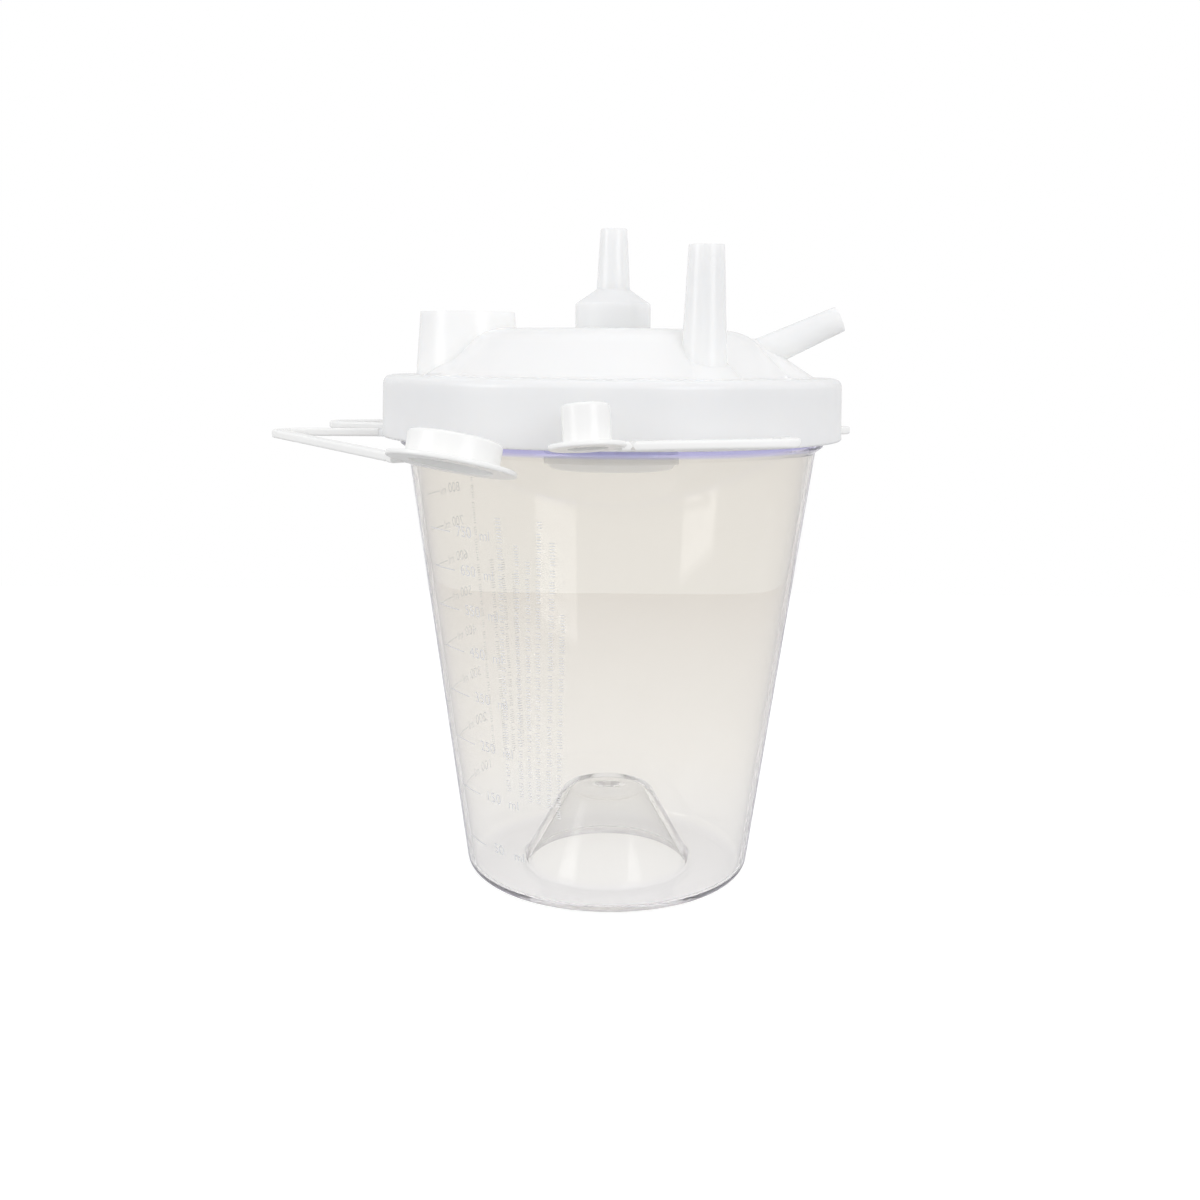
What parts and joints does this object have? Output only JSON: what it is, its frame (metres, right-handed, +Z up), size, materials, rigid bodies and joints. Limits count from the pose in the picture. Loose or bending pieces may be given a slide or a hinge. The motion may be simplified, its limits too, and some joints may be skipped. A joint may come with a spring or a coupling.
{
  "type": "suction canister",
  "caption": "Clear tapered suction canister with a white press-fit lid, upright and leaning hose ports, and port caps on hairpin straps.",
  "frame": {"origin": "centre of the ring that the cup stands on, on the cup's axis", "axes": "+Z up along the cup's axis, +X towards the leaning port, -Y towards the tall front port's side of the lid"},
  "size_m": [0.1727, 0.1759, 0.1947],
  "materials": {
    "clear_plastic": "clear moulded polystyrene",
    "white_plastic": "glossy white moulded polyethylene",
    "cage_plastic": "glossy white moulded polypropylene",
    "float_plastic": "satin moulded polypropylene",
    "seal_rubber": "matte moulded rubber"
  },
  "bodies": {
    "canister": {"canister": "clear_plastic"},
    "lid": {"lid": "white_plastic", "float_cage": "cage_plastic"},
    "float": {"float": "float_plastic", "float_seal": "seal_rubber"},
    "pour_strap": {"pour_strap": "white_plastic"},
    "pour_cap": {"pour_cap": "white_plastic"},
    "patient_strap": {"patient_strap": "white_plastic"},
    "patient_cap": {"patient_cap": "white_plastic"},
    "vacuum_strap": {"vacuum_strap": "white_plastic"},
    "vacuum_cap": {"vacuum_cap": "white_plastic"},
    "tandem_strap": {"tandem_strap": "white_plastic"},
    "tandem_cap": {"tandem_cap": "white_plastic"}
  },
  "joints": [
    {"name": "lid_lift", "type": "slide", "parent": "canister", "child": "lid", "axis": [0, 0, 1], "range_m": [0, 0.035]},
    {"name": "float_rise", "type": "slide", "parent": "lid", "child": "float", "axis": [0, 0, 1], "range_m": [0, 0.0085]},
    {"name": "pour_strap_flex", "type": "hinge", "parent": "lid", "child": "pour_strap", "pos_m": [-0.06967, -0.00426, 0.1352], "axis": [-0.9981, -0.061, 0], "range_deg": [-30, 70], "stiffness_Nm_per_rad": 0.08},
    {"name": "pour_cap_fold", "type": "hinge", "parent": "pour_strap", "child": "pour_cap", "pos_m": [-0.055, -0.07054, 0.13287], "axis": [-0.7906, -0.6124, 0], "range_deg": [-45, 60], "stiffness_Nm_per_rad": 0.02},
    {"name": "patient_strap_flex", "type": "hinge", "parent": "lid", "child": "patient_strap", "pos_m": [0.04524, -0.05316, 0.1366], "axis": [-0.6481, 0.7615, 0], "range_deg": [-30, 55], "stiffness_Nm_per_rad": 0.03},
    {"name": "patient_cap_fold", "type": "hinge", "parent": "patient_strap", "child": "patient_cap", "pos_m": [0.00388, -0.07561, 0.1366], "axis": [-0.3726, 0.928, 0], "range_deg": [-45, 60], "stiffness_Nm_per_rad": 0.005},
    {"name": "vacuum_strap_flex", "type": "hinge", "parent": "lid", "child": "vacuum_strap", "pos_m": [-0.06472, 0.02615, 0.1352], "axis": [0.9272, -0.3746, 0], "range_deg": [-30, 55], "stiffness_Nm_per_rad": 0.03},
    {"name": "vacuum_cap_fold", "type": "hinge", "parent": "vacuum_strap", "child": "vacuum_cap", "pos_m": [-0.04359, 0.06722, 0.1352], "axis": [0.4108, -0.9117, 0], "range_deg": [-45, 60], "stiffness_Nm_per_rad": 0.005},
    {"name": "tandem_strap_flex", "type": "hinge", "parent": "lid", "child": "tandem_strap", "pos_m": [0.06874, 0.01212, 0.1362], "axis": [0.9848, 0.1736, 0], "range_deg": [-30, 55], "stiffness_Nm_per_rad": 0.03},
    {"name": "tandem_cap_fold", "type": "hinge", "parent": "tandem_strap", "child": "tandem_cap", "pos_m": [0.05086, 0.0552, 0.1362], "axis": [0.8723, 0.4891, 0], "range_deg": [-45, 60], "stiffness_Nm_per_rad": 0.005}
  ]
}
